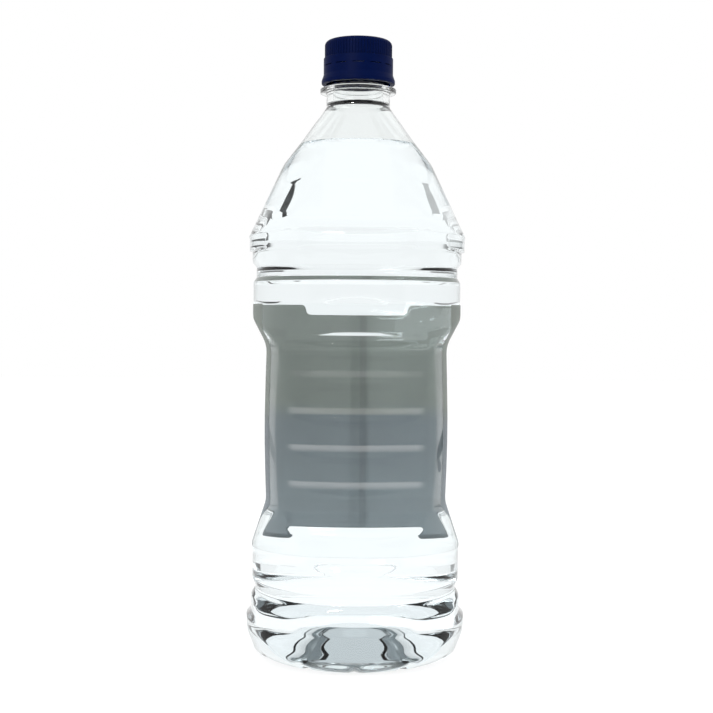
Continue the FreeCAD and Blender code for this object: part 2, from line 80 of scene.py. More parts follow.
@dataclass(frozen=True)
class Outline:
    """An open line of straight runs with rounded corners, as (radius, height, rounding) in mm."""

    corners: tuple[Corner, ...]

    def points(self, row: "RowSpacing") -> Array:
        """Samples the line.

        Args:
            row: gives the spacing of the samples at a height.

        Returns:
            The samples in order, one row each of radius and height.
        """
        line: list[Vector] = []
        spots = [Vector((x, y)) for x, y, _ in self.corners]
        for index, (_, _, rounding) in enumerate(self.corners):
            here = spots[index]
            if rounding <= 0.0 or index in (0, len(spots) - 1):
                line.append(here)
                continue
            line.extend(self._arc(spots[index - 1], here, spots[index + 1], rounding))
        dense: list[Vector] = [line[0]]
        for start, end in zip(line, line[1:]):
            length = (end - start).length
            if length < 1e-6:
                continue
            pieces = max(1, math.ceil(length / row.at((start.y + end.y) / 2) - 0.2))
            for step in range(1, pieces + 1):
                dense.append(start.lerp(end, step / pieces))
        return np.array([(p.x, p.y) for p in dense])

    @staticmethod
    def _arc(before: Vector, here: Vector, after: Vector, rounding: float) -> list[Vector]:
        """Samples one rounded corner.

        Args:
            before: the corner before it.
            here: the corner itself.
            after: the corner after it.
            rounding: radius of the rounding, in mm.

        Returns:
            The samples in order, or the corner alone where the line hardly turns.
        """
        back = (before - here).normalized()
        onward = (after - here).normalized()
        half = back.angle(onward) / 2
        if half > math.radians(89.7):
            return [here]
        reach = rounding / math.tan(half)
        middle = here + (back + onward).normalized() * (rounding / math.sin(half))
        first = here + back * reach - middle
        last = here + onward * reach - middle
        turn = first.angle_signed(last)
        count = max(3, math.ceil(abs(turn) / math.radians(11.0)))
        arc = []
        for step in range(count + 1):
            angle = -turn * step / count
            c, s = math.cos(angle), math.sin(angle)
            arc.append(middle + Vector((first.x * c - first.y * s, first.x * s + first.y * c)))
        return arc

    def depth_at(self, height: Array, span: Span) -> Array:
        """Gives the line's radius at each height, for a line that only goes one way.

        Args:
            height: heights above the foot, in mm.
            span: the lowest and highest height that the line's face reaches, in mm.

        Returns:
            The radius at each height in mm, or a far one outside the span.
        """
        line = self.points(RowSpacing(fine=0.25, coarse=0.25))
        order = np.argsort(line[:, 1], kind="stable")
        depth = np.interp(height, line[order, 1], line[order, 0])
        return np.where((height < span[0]) | (height > span[1]), FAR, depth)


@dataclass(frozen=True)
class RowSpacing:
    """How far apart the rows of a turned surface lie, in mm."""

    fine: float = 1.2
    middle: float = 2.0
    coarse: float = 3.2

    def at(self, height: float) -> float:
        """Gives the spacing at a height: fine on the ribs and the belt, coarse on plain parts.

        Args:
            height: height above the foot, in mm.

        Returns:
            The spacing in mm.
        """
        if 66.0 < height < 160.0 or 196.0 < height < 207.0:
            return self.fine
        if 0.5 < height < 24.0 or 50.0 < height < 172.0:
            return self.middle
        return self.coarse


# ---- the bottle's form


@dataclass(frozen=True)
class BottleForm:
    """The sizes of the blown form in mm, and the distance of its surface from the axis.

    An inset is how far inside the outer surface a line or a point lies, in mm.
    """

    wall: float = 0.5
    base_radius: float = 55.4
    band_radius: float = 51.1
    belt_radius: float = 55.6
    band_bottom: float = 37.8
    band_top: float = 183.4
    neck_radius: float = 15.6
    neck_height: float = 269.4
    ring_bottom: float = 276.5
    ring_top: float = 278.7
    lip_height: float = 300.5
    bore_radius: float = 12.5
    fill_height: float = 250.2
    heel_round: float = 14.6
    face_depth: float = 53.8
    grip_depth: float = 5.7
    face_shift: float = 10.0
    shoulder_shift: float = 18.5
    waist_shift: float = 40.7
    rib_shift: float = 61.0
    base_span: Span = (2.4, 33.2)
    waist_span: Span = (22.0, 198.0)
    belt_span: Span = (185.6, 215.3)
    shoulder_span: Span = (202.8, 251.2)
    facing_half: float = 80.0
    face_blend: float = 0.35
    rib_blend: float = 0.3
    rib_pitch: float = 17.25
    rib_depth: float = 1.1
    rib_width: float = 5.52
    rib_count: int = 6
    rib_start: float = 41.2
    recess_depth: float = 0.8
    recess_half: float = 32.0
    recess_span: Span = (197.9, 205.5)
    recess_edge: float = 0.6
    flute_radius: float = 4.0
    flute_depth: float = 1.4
    flute_count: int = 12
    flute_slope: float = 62.0
    flute_top: float = 16.0
    crowding: float = 0.5

    def base_and_body(self, inset: float) -> list[Corner]:
        """Gives the corners of the round envelope from the dome to the neck.

        Args:
            inset: the inset of the line.

        Returns:
            The corners in order.
        """
        foot = self.base_radius - self.heel_round - 3.2
        band = self.band_radius - inset
        belt = self.belt_radius - inset
        groove = self.band_radius - 1.5 - inset
        return [
            (0.0, 15.0 + inset, 0.0),
            (13.0, 15.0 + inset, 5.0),
            (foot - 2.1 + inset, 5.0 + inset, 5.0),
            (foot + inset, inset, 1.2),
            (self.base_radius - inset, inset, self.heel_round - inset),
            (self.base_radius - inset, 26.0, 5.0),
            (self.band_radius - 1.9 - inset, 33.2, 1.4),
            (band, self.band_bottom, 2.4),
            (band, self.band_top, 1.2),
            (groove, 185.6, 0.9),
            (groove, 190.6, 0.9),
            (belt, 197.4, 3.0),
            (belt, 206.0, 3.0),
            (self.band_radius + 1.1 - inset, 215.3, 12.0),
            (self.band_radius - 5.7 - inset, 229.7, 12.0),
            (28.8 - inset, 251.2, 12.0),
            (self.neck_radius - inset, self.neck_height, 2.4),
        ]

    def shoulder_line(self, inset: float) -> Outline:
        """Gives the upright line of a shoulder face."""
        return Outline(((54.6 - inset, 202.8, 0.0), (31.7 - inset, 251.2, 0.0)))

    def grip_line(self, inset: float) -> Outline:
        """Gives the upright line of the front and back panels, which the ribs cross.

        Args:
            inset: the inset of the line.

        Returns:
            The line, proud of the band at both ends.
        """
        proud = self.band_radius + 0.6 - inset
        turn = self.band_radius - 2.05 - inset
        foot = self.band_radius - 6.3 - inset
        return Outline(
            (
                (proud, 20.0, 0.0),
                (proud, 46.4, 0.0),
                (turn, 50.9, 7.0),
                (self.band_radius - 4.5 - inset, 67.2, 4.0),
                (foot, 74.0, 6.0),
                (self.band_radius - self.grip_depth - inset, 111.6, 600.0),
                (foot, 151.1, 20.0),
                (turn, 172.1, 3.0),
                (proud, 176.5, 0.0),
                (proud, 202.0, 0.0),
            )
        )

    def waist_line(self, inset: float) -> Outline:
        """Gives the upright line of a side panel.

        Args:
            inset: the inset of the line.

        Returns:
            The line, proud of the band at both ends.
        """
        proud = self.band_radius + 0.4 - inset
        inner = self.band_radius - 6.9 - inset
        return Outline(
            (
                (proud, 20.0, 0.0),
                (proud, 54.0, 14.0),
                (inner, 76.0, 14.0),
                (inner + 1.2, 110.6, 600.0),
                (inner, 152.5, 14.0),
                (proud, 166.5, 14.0),
                (proud, 200.0, 0.0),
            )
        )

    def base_line(self, inset: float) -> Outline:
        """Gives the upright line of a base face."""
        return Outline(
            (
                (49.6 - inset, 2.4, 0.0),
                (self.face_depth - inset, 13.0, 16.0),
                (self.face_depth - inset, 33.2, 0.0),
            )
        )

    @staticmethod
    def reach(depth: Array, shift: float, turn: Array) -> Array:
        """Gives the distance from the axis to a face that is turned about a line behind the axis.

        Args:
            depth: distance of the face's middle from the axis, in mm.
            shift: how far behind the axis the line lies, in mm.
            turn: angle off the face's middle, in radians.

        Returns:
            The distance at each point, in mm.
        """
        radius = depth + shift
        across = shift * np.sin(turn)
        return -shift * np.cos(turn) + np.sqrt(np.maximum(radius**2 - across**2, 0.0))

    @staticmethod
    def soft_min(first: Array, second: Array, blend: float) -> Array:
        """Gives the smaller of two distances with the edge between them rounded off."""
        near = np.maximum(blend - np.abs(first - second), 0.0) / blend
        return np.minimum(first, second) - near**2 * blend / 4

    def radius_at(
        self, envelope: Array, height: Array, azimuth: Array, inset: float, ribs: bool
    ) -> Array:
        """Gives the distance of the surface from the axis.

        Args:
            envelope: radius of the round envelope, in mm.
            height: height above the foot, in mm.
            azimuth: direction from +X, in radians.
            inset: the inset of the surface.
            ribs: whether the grip's ribs are cut. The panel behind the print has none.

        Returns:
            The radius at each point, in mm.
        """
        shoulder = self.shoulder_line(inset).depth_at(height, self.shoulder_span)
        grip = self.grip_line(inset).depth_at(height, self.waist_span)
        waist = self.waist_line(inset).depth_at(height, self.waist_span)
        base = self.base_line(inset).depth_at(height, self.base_span)
        low, high = self.belt_span
        belt = np.where((height > low) & (height < high), self.face_depth - inset, FAR)
        radius = envelope.copy()
        for side in Side:
            ends = side in (Side.RIGHT, Side.LEFT)
            turn = (azimuth - math.radians(side.value) + math.pi) % (2 * math.pi) - math.pi
            cut = self.reach(belt, self.face_shift, turn)
            if ends:
                cut = cut - self.recess(height, turn)
            for depth, shift in (
                (shoulder, self.shoulder_shift),
                (waist if ends else grip, self.waist_shift),
                (base, self.face_shift),
            ):
                cut = np.minimum(cut, self.reach(depth, shift, turn))
            cut = np.minimum(cut, FAR)
            shaped = self.soft_min(radius, cut, self.face_blend)
            if ribs and side is not Side.BACK:
                rib = self.rib_reach(height, turn, inset, side)
                shaped = self.soft_min(shaped, rib, self.rib_blend)
            radius = np.where(np.abs(turn) < math.radians(self.facing_half), shaped, radius)
        return radius

    def recess(self, height: Array, turn: Array) -> Array:
        """Gives the depth of the shallow recess in an end face of the belt.

        Args:
            height: height above the foot, in mm.
            turn: angle off the face's middle, in radians.

        Returns:
            The depth at each point, in mm.
        """
        radius = self.face_depth + self.face_shift
        behind = np.degrees(np.arcsin(np.clip(self.face_depth * np.sin(turn) / radius, -1, 1)))
        low, high = self.recess_span
        above = np.clip((height - low) / self.recess_edge, 0, 1)
        below = np.clip((high - height) / self.recess_edge, 0, 1)
        soft = above * below * np.clip((self.recess_half - np.abs(behind)) / 1.0 + 0.5, 0, 1)
        return self.recess_depth * soft * soft * (3 - 2 * soft)

    def rib_levels(self, side: Side) -> list[float]:
        """Gives the heights of the ribs across one waist panel."""
        middle = (self.band_bottom + self.band_top) / 2
        if side in (Side.FRONT, Side.BACK):
            first = middle - self.rib_start
            return [first + self.rib_pitch * index for index in range(self.rib_count)]
        return [middle - self.rib_pitch * 2 / 3, middle + self.rib_pitch * 2 / 3]

    def rib_reach(
        self, height: Array, turn: Array, inset: float, side: Side
    ) -> Array:
        """Gives the distance at which the ribs across one waist panel limit the surface.

        Args:
            height: height above the foot, in mm.
            turn: angle off the panel's middle, in radians.
            inset: the inset of the surface.
            side: which panel.

        Returns:
            The distance at each point in mm, or a far one between the ribs.
        """
        tube = (self.rib_width**2 / 4 + self.rib_depth**2) / (2 * self.rib_depth)
        limit = np.full_like(height, FAR)
        centre = self.band_radius - self.grip_depth - self.rib_depth + tube
        for level in self.rib_levels(side):
            half = np.sqrt(np.maximum((tube + inset) ** 2 - (height - level) ** 2, 0.0))
            rib = self.reach(centre - half, self.rib_shift, turn)
            limit = np.where(np.abs(height - level) < tube + inset, np.minimum(limit, rib), limit)
        return limit

    def flute_moves(self, spots: Array, inset: float) -> Array:
        """Moves points of the heel in to where the flutes cut it.

        Args:
            spots: points in mm, one row each.
            inset: how far inside the outer surface they lie, in mm.

        Returns:
            The moved points.
        """
        slope = math.radians(self.flute_slope)
        outward, down = math.cos(slope), -math.sin(slope)
        heel = self.base_radius - self.heel_round
        centre = self.heel_round - self.flute_depth + self.flute_radius
        tube = self.flute_radius + inset
        moved = spots.copy()
        for index in range(self.flute_count):
            turn = 2 * math.pi * index / self.flute_count
            along = moved[:, 0] * math.cos(turn) + moved[:, 1] * math.sin(turn)
            across = -moved[:, 0] * math.sin(turn) + moved[:, 1] * math.cos(turn)
            out = (along - heel) * outward + (moved[:, 2] - self.heel_round) * down
            limit = centre - np.sqrt(np.maximum(tube**2 - across**2, 0.0))
            near = (np.abs(across) < tube) & (along > heel * 0.9) & (moved[:, 2] < self.flute_top)
            push = np.where(near & (out > limit), limit - out, 0.0)
            moved[:, 0] += push * outward * math.cos(turn)
            moved[:, 1] += push * outward * math.sin(turn)
            moved[:, 2] += push * down
        return moved


FORM = BottleForm()


# ---- mesh making


def put_in_scene(name: str, data: bpy.types.ID) -> Piece:
    """Makes an object of a mesh, a lamp or a camera and links it to the scene."""
    piece = bpy.data.objects.new(name, data)
    bpy.context.scene.collection.objects.link(piece)
    return piece


def mesh_object(name: str, mesh: bmesh.types.BMesh) -> Piece:
    """Turns a worked mesh into an object in the scene, and frees the worked one."""
    data = bpy.data.meshes.new(name)
    mesh.to_mesh(data)
    mesh.free()
    return put_in_scene(name, data)


@dataclass
class TurnedMesh:
    """Spins outlines about the axis and shapes them to the bottle's form."""

    steps: int = 160
    rows: RowSpacing = RowSpacing()
    mesh: bmesh.types.BMesh = field(default_factory=bmesh.new)

    def spin(self, corners: list[Corner]) -> list[Vert]:
        """Turns an outline about the Z axis.

        Args:
            corners: the corners of the line to turn, in mm.

        Returns:
            The new vertices, with their place still in mm.
        """
        old = set(self.mesh.verts)
        points = Outline(tuple(corners)).points(self.rows)
        line = [self.mesh.verts.new((x, 0.0, z)) for x, z in points]
        edges = [self.mesh.edges.new(pair) for pair in zip(line, line[1:])]
        bmesh.ops.spin(
            self.mesh,
            geom=[*line, *edges],
            cent=(0, 0, 0),
            axis=(0, 0, 1),
            angle=2 * math.pi,
            steps=self.steps,
            use_merge=True,
            use_duplicate=False,
        )
        return [vert for vert in self.mesh.verts if vert not in old]

    def shape(
        self, verts: list[Vert], inset: float, ribs: bool = True, flutes: bool = True
    ) -> None:
        """Moves turned vertices in to the bottle's faces, ribs and flutes.

        Args:
            verts: vertices of a round surface, in mm.
            inset: how far inside the outer surface it lies, in mm.
            ribs: whether the grip's ribs are cut.
            flutes: whether the heel's flutes are cut.
        """
        spots = np.array([vert.co[:] for vert in verts])
        azimuth = np.arctan2(spots[:, 1], spots[:, 0])
        azimuth += FORM.crowding / 4 * np.sin(4 * azimuth)
        envelope = np.hypot(spots[:, 0], spots[:, 1])
        radius = FORM.radius_at(envelope, spots[:, 2], azimuth, inset, ribs)
        spots[:, 0] = radius * np.cos(azimuth)
        spots[:, 1] = radius * np.sin(azimuth)
        if flutes:
            spots = FORM.flute_moves(spots, inset)
        for vert, spot in zip(verts, spots):
            vert.co = spot

    def finished(self, name: str, weld: float = 0.002) -> Piece:
        """Welds the mesh, turns its faces outwards and puts it in the scene in metres.

        Args:
            name: name of the piece.
            weld: vertices nearer than this, in mm, become one.

        Returns:
            The new piece.
        """
        bmesh.ops.remove_doubles(self.mesh, verts=self.mesh.verts, dist=weld)
        bmesh.ops.recalc_face_normals(self.mesh, faces=self.mesh.faces)
        bmesh.ops.scale(self.mesh, vec=(MM, MM, MM), verts=self.mesh.verts)
        for face in self.mesh.faces:
            face.smooth = True
        return mesh_object(name, self.mesh)


# ---- finishes


def grey(shade: float) -> Colour:
    """Gives a grey as a colour."""
    return (shade, shade, shade)


@dataclass(frozen=True)
class Wires:
    """A node tree, with short ways to add nodes and join them."""

    tree: bpy.types.NodeTree

    def add(self, kind: str, **values: object) -> Node:
        """Adds a shader node and sets its plain properties or its sockets by name.

        Args:
            kind: the node's type without its prefix.
            values: properties, or sockets with underscores for spaces.

        Returns:
            The new node.
        """
        node = self.tree.nodes.new("ShaderNode" + kind)
        for name, value in values.items():
            socket = node.inputs.get(name.replace("_", " "))
            if socket is not None:
                socket.default_value = value
            else:
                setattr(node, name, value)
        return node

    def feed(self, source: Node | Socket | float | Colour, end: Socket) -> None:
        """Feeds a socket from another one or a node's first output, or sets a number or a colour.

        Args:
            source: what to feed it with.
            end: the socket to feed.
        """
        if isinstance(source, Node):
            source = source.outputs[0]
        if isinstance(source, Socket):
            self.tree.links.new(source, end)
        elif isinstance(source, tuple):
            end.default_value = (*source, 1)
        else:
            end.default_value = source

    def place(self) -> Socket:
        """Gives the place on the piece."""
        return self.add("TexCoord").outputs["Object"]

    def apart(self, place: Socket) -> Node:
        """Splits a place or a direction into X, Y and Z."""
        node = self.add("SeparateXYZ")
        self.feed(place, node.inputs["Vector"])
        return node

    def noise(self, place: Socket, scale: float, **values: float) -> Socket:
        """Gives an uneven value between 0 and 1 over the piece."""
        node = self.add("TexNoise", Scale=scale, **values)
        self.feed(place, node.inputs["Vector"])
        return node.outputs["Fac"]

    def facing(self) -> Socket:
        """Gives a value that goes up to 1 where the surface is seen edge-on."""
        return self.add("LayerWeight", Blend=0.5).outputs["Facing"]

    def spread(
        self, value: Socket, start: Span = (0.0, 1.0), end: Span = (0.0, 1.0), soft: bool = False
    ) -> Socket:
        """Maps one range of a value onto another and holds it at both ends.

        Args:
            value: the value to map.
            start: the range to read.
            end: the range to give.
            soft: whether the ends are eased.

        Returns:
            The mapped value.
        """
        node = self.add("MapRange", interpolation_type="SMOOTHSTEP" if soft else "LINEAR")
        for name, number in zip(("From Min", "From Max", "To Min", "To Max"), (*start, *end)):
            node.inputs[name].default_value = number
        self.feed(value, node.inputs["Value"])
        return node.outputs["Result"]

    def maths(self, operation: str, *parts: Socket | float, clamp: bool = False) -> Socket:
        """Works out a value from other values or numbers."""
        node = self.add("Math", operation=operation, use_clamp=clamp)
        for part, end in zip(parts, node.inputs):
            self.feed(part, end)
        return node.outputs["Value"]

    def scaled(self, vector: Socket, share: Socket | float) -> Socket:
        """Multiplies a colour by a number."""
        node = self.add("VectorMath", operation="SCALE")
        self.feed(vector, node.inputs[0])
        self.feed(share, node.inputs["Scale"])
        return node.outputs["Vector"]

    def moved(self, operation: str, place: Socket, by: Corner) -> Socket:
        """Subtracts a place from another one, or multiplies them part by part."""
        node = self.add("VectorMath", operation=operation)
        node.inputs[1].default_value = by
        self.feed(place, node.inputs[0])
        return node.outputs["Vector"]

    def mixed(
        self, share: Socket | float, first: Socket | Colour, second: Socket | Colour, way: str = "MIX"
    ) -> Socket:
        """Mixes two colours.

        Args:
            share: how much of the second shows.
            first: the colour at a share of 0.
            second: the colour at a share of 1.
            way: how the second one is laid over the first.

        Returns:
            The mixed colour.
        """
        node = self.add("Mix", data_type="RGBA", blend_type=way)
        for name, part in (("Factor", share), ("A", first), ("B", second)):
            self.feed(part, node.inputs[name])
        return node.outputs["Result"]

    def layered(self, share: Socket | float, first: Node | Socket, second: Node | Socket) -> Socket:
        """Mixes two shaders by the share of the second."""
        node = self.add("MixShader")
        for part, end in zip((share, first, second), node.inputs):
            self.feed(part, end)
        return node.outputs["Shader"]

    def ramp(self, value: Socket, stops: Iterable[tuple[float, Colour]]) -> Socket:
        """Turns a value into a colour.

        Args:
            value: the value to look up.
            stops: values between 0 and 1, not at either end, each with its colour.

        Returns:
            The colour.
        """
        node = self.add("ValToRGB")
        elements = node.color_ramp.elements
        for spot, colour in stops:
            elements.new(spot).color = (*colour, 1)
        elements.remove(elements[0])
        elements.remove(elements[-1])
        self.feed(value, node.inputs["Fac"])
        return node.outputs["Color"]

    def ripple(self, scale: float, height: float, shell: Node) -> None:
        """Gives a shader a soft uneven bump, as a blown or moulded surface has.

        Args:
            scale: how many swells there are to a metre.
            height: how high they stand, in metres.
            shell: the shader.
        """
        bump = self.add("Bump", Strength=1.0, Distance=height)
        self.feed(self.noise(self.place(), scale, Detail=2.0, Roughness=0.4), bump.inputs["Height"])
        self.feed(bump.outputs["Normal"], shell.inputs["Normal"])

    def output(self, surface: Node | Socket, kind: str = "OutputMaterial") -> None:
        """Shows a shader on the surface."""
        self.feed(surface, self.add(kind).inputs["Surface"])


def new_material(name: str) -> tuple[Material, Wires]:
    """Makes an empty node material and returns it with its tree."""
    material = bpy.data.materials.new(name)
    material.use_nodes = True
    material.node_tree.nodes.clear()
    return material, Wires(material.node_tree)


@dataclass(frozen=True)
class ClearPet:
    """Clear blown PET, with painted shade where it is seen nearly edge-on, in place of the dark
    surroundings that its edges bend into view.
    """

    name: str
    ior: float
    tint: Colour = (0.955, 0.975, 0.972)
    # Painted shade: the colour of the wall where it is seen edge-on.
    edge: Colour = (0.16, 0.19, 0.19)
    edge_shade_span: Span = (0.72, 0.97)

    def make(self) -> Material:
        """Makes the material."""
        material, wires = new_material(self.name)
        shell = wires.add("BsdfPrincipled", Roughness=0.015, IOR=self.ior, Transmission_Weight=1.0)
        stops = zip(self.edge_shade_span, (self.tint, self.edge))
        wires.feed(wires.ramp(wires.facing(), stops), shell.inputs["Base Color"])
        wires.ripple(45.0, 0.00012, shell)
        wires.output(shell)
        return material


@dataclass(frozen=True)
class Wetted:
    """The inner face of the wall where the drink wets it, which then no longer shows."""

    name: str = "wetted_pet"

    def make(self) -> Material:
        """Makes the material."""
        material, wires = new_material(self.name)
        shell = wires.add("BsdfPrincipled", Roughness=0.0, Alpha=0.0)
        wires.output(shell)
        return material


@dataclass(frozen=True)
class Spirit:
    """A clear, still drink."""

    name: str
    ior: float
    tint: Colour = (0.93, 0.96, 0.975)

    def make(self) -> Material:
        """Makes the material."""
        material, wires = new_material(self.name)
        body = wires.add("BsdfPrincipled", Roughness=0.0, IOR=self.ior, Transmission_Weight=1.0)
        wires.feed(self.tint, body.inputs["Base Color"])
        wires.ripple(12.0, 0.00001, body)
        wires.output(body)
        return material


@dataclass(frozen=True)
class RibLight:
    """The faint light that clear film catches over the upper side of each front rib, in metres."""

    strength: float = 0.085
    rise: Span = (-0.0006, 0.0014)
    fall: Span = (0.0031, 0.0028)
    across: Span = (0.0330, 0.0290)
    low: Span = (0.0790, 0.0800)
    high: Span = (0.1450, 0.1440)

    def share(self, wires: Wires, apart: Node) -> Socket:
        """Adds the light to a film.

        Args:
            wires: the film's node tree.
            apart: the node that gives the place on the film.

        Returns:
            The share of light.
        """
        pitch = FORM.rib_pitch * MM
        first = FORM.rib_levels(Side.FRONT)[0] * MM
        height = apart.outputs["Z"]
        over = wires.maths("WRAP", height, first + pitch / 2, first - pitch / 2)
        away = wires.maths("ABSOLUTE", apart.outputs["X"])
        share: Socket | float = self.strength
        for value, span in (
            (over, (first + self.rise[0], first + self.rise[1])),
            (over, (first + self.fall[0], first + self.fall[1])),
            (away, self.across),
            (height, self.low),
            (height, self.high),
        ):
            share = wires.maths("MULTIPLY", wires.spread(value, span), share)
        return share


@dataclass(frozen=True)
class PrintedFilm:
    """Thin film, clear at the front and printed in two soft fields of grey round the back.

    Heights and places are in metres. A glow lets light through the print, and a bare share
    lets it be seen through. The overlap's stops are shares of its width with their shades.
    """

    name: str
    upper: Colour
    lower: Colour
    sheen: float = 0.0
    glow: float = 0.0
    bare: float = 0.0
    lit_share: float = 0.6
    window: float = -0.024
    window_edge: float = 0.0004
    window_low: Span = (0.078, 0.064)
    window_shift: float = 0.018
    change: float = 0.118
    change_half: float = 0.006
    foot: Span = (0.105, 0.062)
    foot_tone: float = 1.3
    blotch: Span = (0.93, 1.07)
    overlap_half: float = 0.010
    overlap: tuple[tuple[float, float], ...] = (
        (0.30, 1.0),
        (0.56, 1.0),
        (0.57, 0.88),
        (0.69, 0.88),
        (0.71, 1.0),
    )
    rib_light: RibLight = RibLight()

    def make(self) -> Material:
        """Makes the material."""
        material, wires = new_material(self.name)
        place = wires.place()
        apart = wires.apart(place)
        clear = wires.add("BsdfTransparent", Color=(0.985, 0.99, 0.99, 1))
        printed = self._print(wires, self._ink(wires, place, apart), clear)
        film = self._film(wires, apart, clear)
        wires.output(wires.layered(self._behind(wires, apart), film, printed))
        return material

    def _ink(self, wires: Wires, place: Socket, apart: Node) -> Socket:
        """Adds the ink: two soft fields, a paler foot, faint blotches and the overlap's strip.

        Args:
            wires: the film's node tree.
            place: the place on the film.
            apart: the node that gives the place's parts.

        Returns:
            The colour of the ink.
        """
        height = apart.outputs["Z"]
        change = (self.change - self.change_half, self.change + self.change_half)
        fields = wires.mixed(wires.spread(height, change, soft=True), self.lower, self.upper)
        pale = tuple(self.foot_tone * part for part in self.lower)
        faded = wires.mixed(wires.spread(height, self.foot), fields, pale)
        tone = wires.spread(wires.noise(place, 60.0, Detail=3.0), end=self.blotch)
        across = wires.spread(apart.outputs["X"], (-self.overlap_half, self.overlap_half))
        stops = ((spot, grey(shade)) for spot, shade in self.overlap)
        return wires.scaled(faded, wires.maths("MULTIPLY", tone, wires.ramp(across, stops)))

    def _print(self, wires: Wires, ink: Socket, clear: Node) -> Socket:
        """Adds the printed film, which lets through light if it glows, or else some of the view.

        Args:
            wires: the film's node tree.
            ink: the colour of the ink.
            clear: the shader of the bare film.

        Returns:
            The shader of the print.
        """
        matt = wires.add("BsdfPrincipled", Roughness=0.45)
        wires.feed(ink, matt.inputs["Base Color"])
        if not self.glow:
            return wires.layered(self.bare, matt, clear)
        lit = wires.add("BsdfTranslucent")
        wires.feed(wires.scaled(ink, self.glow), lit.inputs["Color"])
        return wires.layered(self.lit_share, matt, lit)

    def _film(self, wires: Wires, apart: Node, clear: Node) -> Socket:
        """Adds the bare film, with its sheen and the light over the ribs.

        Args:
            wires: the film's node tree.
            apart: the node that gives the place on the film.
            clear: the shader of the bare film.

        Returns:
            The shader of the film where it isn't printed.
        """
        sheen = wires.add("BsdfGlossy", Roughness=0.08, Color=(1, 1, 1, 1))
        edge = wires.spread(wires.facing(), (0.3, 1.0), (0.0, self.sheen))
        light = wires.maths("MAXIMUM", edge, self.rib_light.share(wires, apart))
        return wires.layered(light, clear, sheen)

    def _behind(self, wires: Wires, apart: Node) -> Socket:
        """Adds the print's boundary, which goes further back towards the lower edge.

        Args:
            wires: the film's node tree.
            apart: the node that gives the place on the film.

        Returns:
            The share of the print, which is 1 round the back.
        """
        low = wires.spread(apart.outputs["Z"], self.window_low, (0.0, self.window_shift), soft=True)
        behind = wires.maths("SUBTRACT", apart.outputs["Y"], low)
        edge = (self.window - self.window_edge, self.window + self.window_edge)
        return wires.spread(behind, edge, soft=True)


@dataclass(frozen=True)
class FilmRimShade:
    """Painted shade on the film's cut ends: an uneven dark grey that draws a thin dark line at the
    film's edges.
    """

    name: str = "film_rim_shade"
    shades: Span = (0.10, 0.22)

    def make(self) -> Material:
        """Makes the material."""
        material, wires = new_material(self.name)
        cut = wires.add("BsdfPrincipled", Roughness=0.4)
        noise = wires.noise(wires.place(), 80.0)
        wires.feed(wires.spread(noise, end=self.shades), cut.inputs["Base Color"])
        wires.output(cut)
        return material


@dataclass(frozen=True)
class CapPlastic:
    """Satin navy plastic with a faint moulded unevenness."""

    name: str = "navy_plastic"
    deep: Colour = (0.0003, 0.0040, 0.038)
    worn: Colour = (0.0006, 0.0062, 0.053)

    def make(self) -> Material:
        """Makes the material."""
        material, wires = new_material(self.name)
        shell = wires.add("BsdfPrincipled", Roughness=0.42, Specular_IOR_Level=0.03)
        noise = wires.noise(wires.place(), 350.0, Detail=3.0)
        wires.feed(wires.mixed(noise, self.deep, self.worn), shell.inputs["Base Color"])
        wires.ripple(900.0, 0.00002, shell)
        wires.output(shell)
        return material


# ---- the pieces


@dataclass
class ClearBottle:
    """The blown wall with its neck finish, one closed shell.

    Its outer face is filled PET as far up as the drink stands, and its inner face is wetted there.
    """

    ring_radius: float = 18.7
    finish_radius: float = 14.4
    bead: tuple[Corner, ...] = ((14.4, 283.6, 0.0), (15.3, 284.3, 0.3), (14.4, 285.6, 0.0))
    bore_foot: float = 271.4
    wet_above_fill: float = 0.6
    dry: ClearPet = ClearPet("clear_pet", 1.5)
    filled: ClearPet = ClearPet("filled_pet", 1.36)
    wetted: Wetted = Wetted()

    def build(self) -> Piece:
        """Makes the wall and dresses it.

        Returns:
            The wall, with the finishes dry, filled and wetted in that order.
        """
        turned = TurnedMesh()
        lip = FORM.lip_height
        outer = [
            *FORM.base_and_body(0.0),
            (FORM.neck_radius, FORM.ring_bottom, 0.5),
            (self.ring_radius, FORM.ring_bottom, 0.5),
            (self.ring_radius, FORM.ring_top, 0.5),
            (self.finish_radius, FORM.ring_top, 0.4),
            *self.bead,
            (self.finish_radius, lip, 0.5),
            (FORM.bore_radius, lip, 0.0),
        ]
        turned.shape(turned.spin(outer), 0.0)
        outside = set(turned.mesh.faces)
        inner = [
            *FORM.base_and_body(FORM.wall),
            (FORM.bore_radius, self.bore_foot, 0.9),
            (FORM.bore_radius, lip, 0.0),
        ]
        turned.shape(turned.spin(inner), FORM.wall)
        for face in turned.mesh.faces:
            if face.calc_center_median().z < FORM.fill_height + self.wet_above_fill:
                face.material_index = 1 if face in outside else 2
        piece = turned.finished("clear_wall")
        for finish in (self.dry, self.filled, self.wetted):
            piece.data.materials.append(finish.make())
        return piece


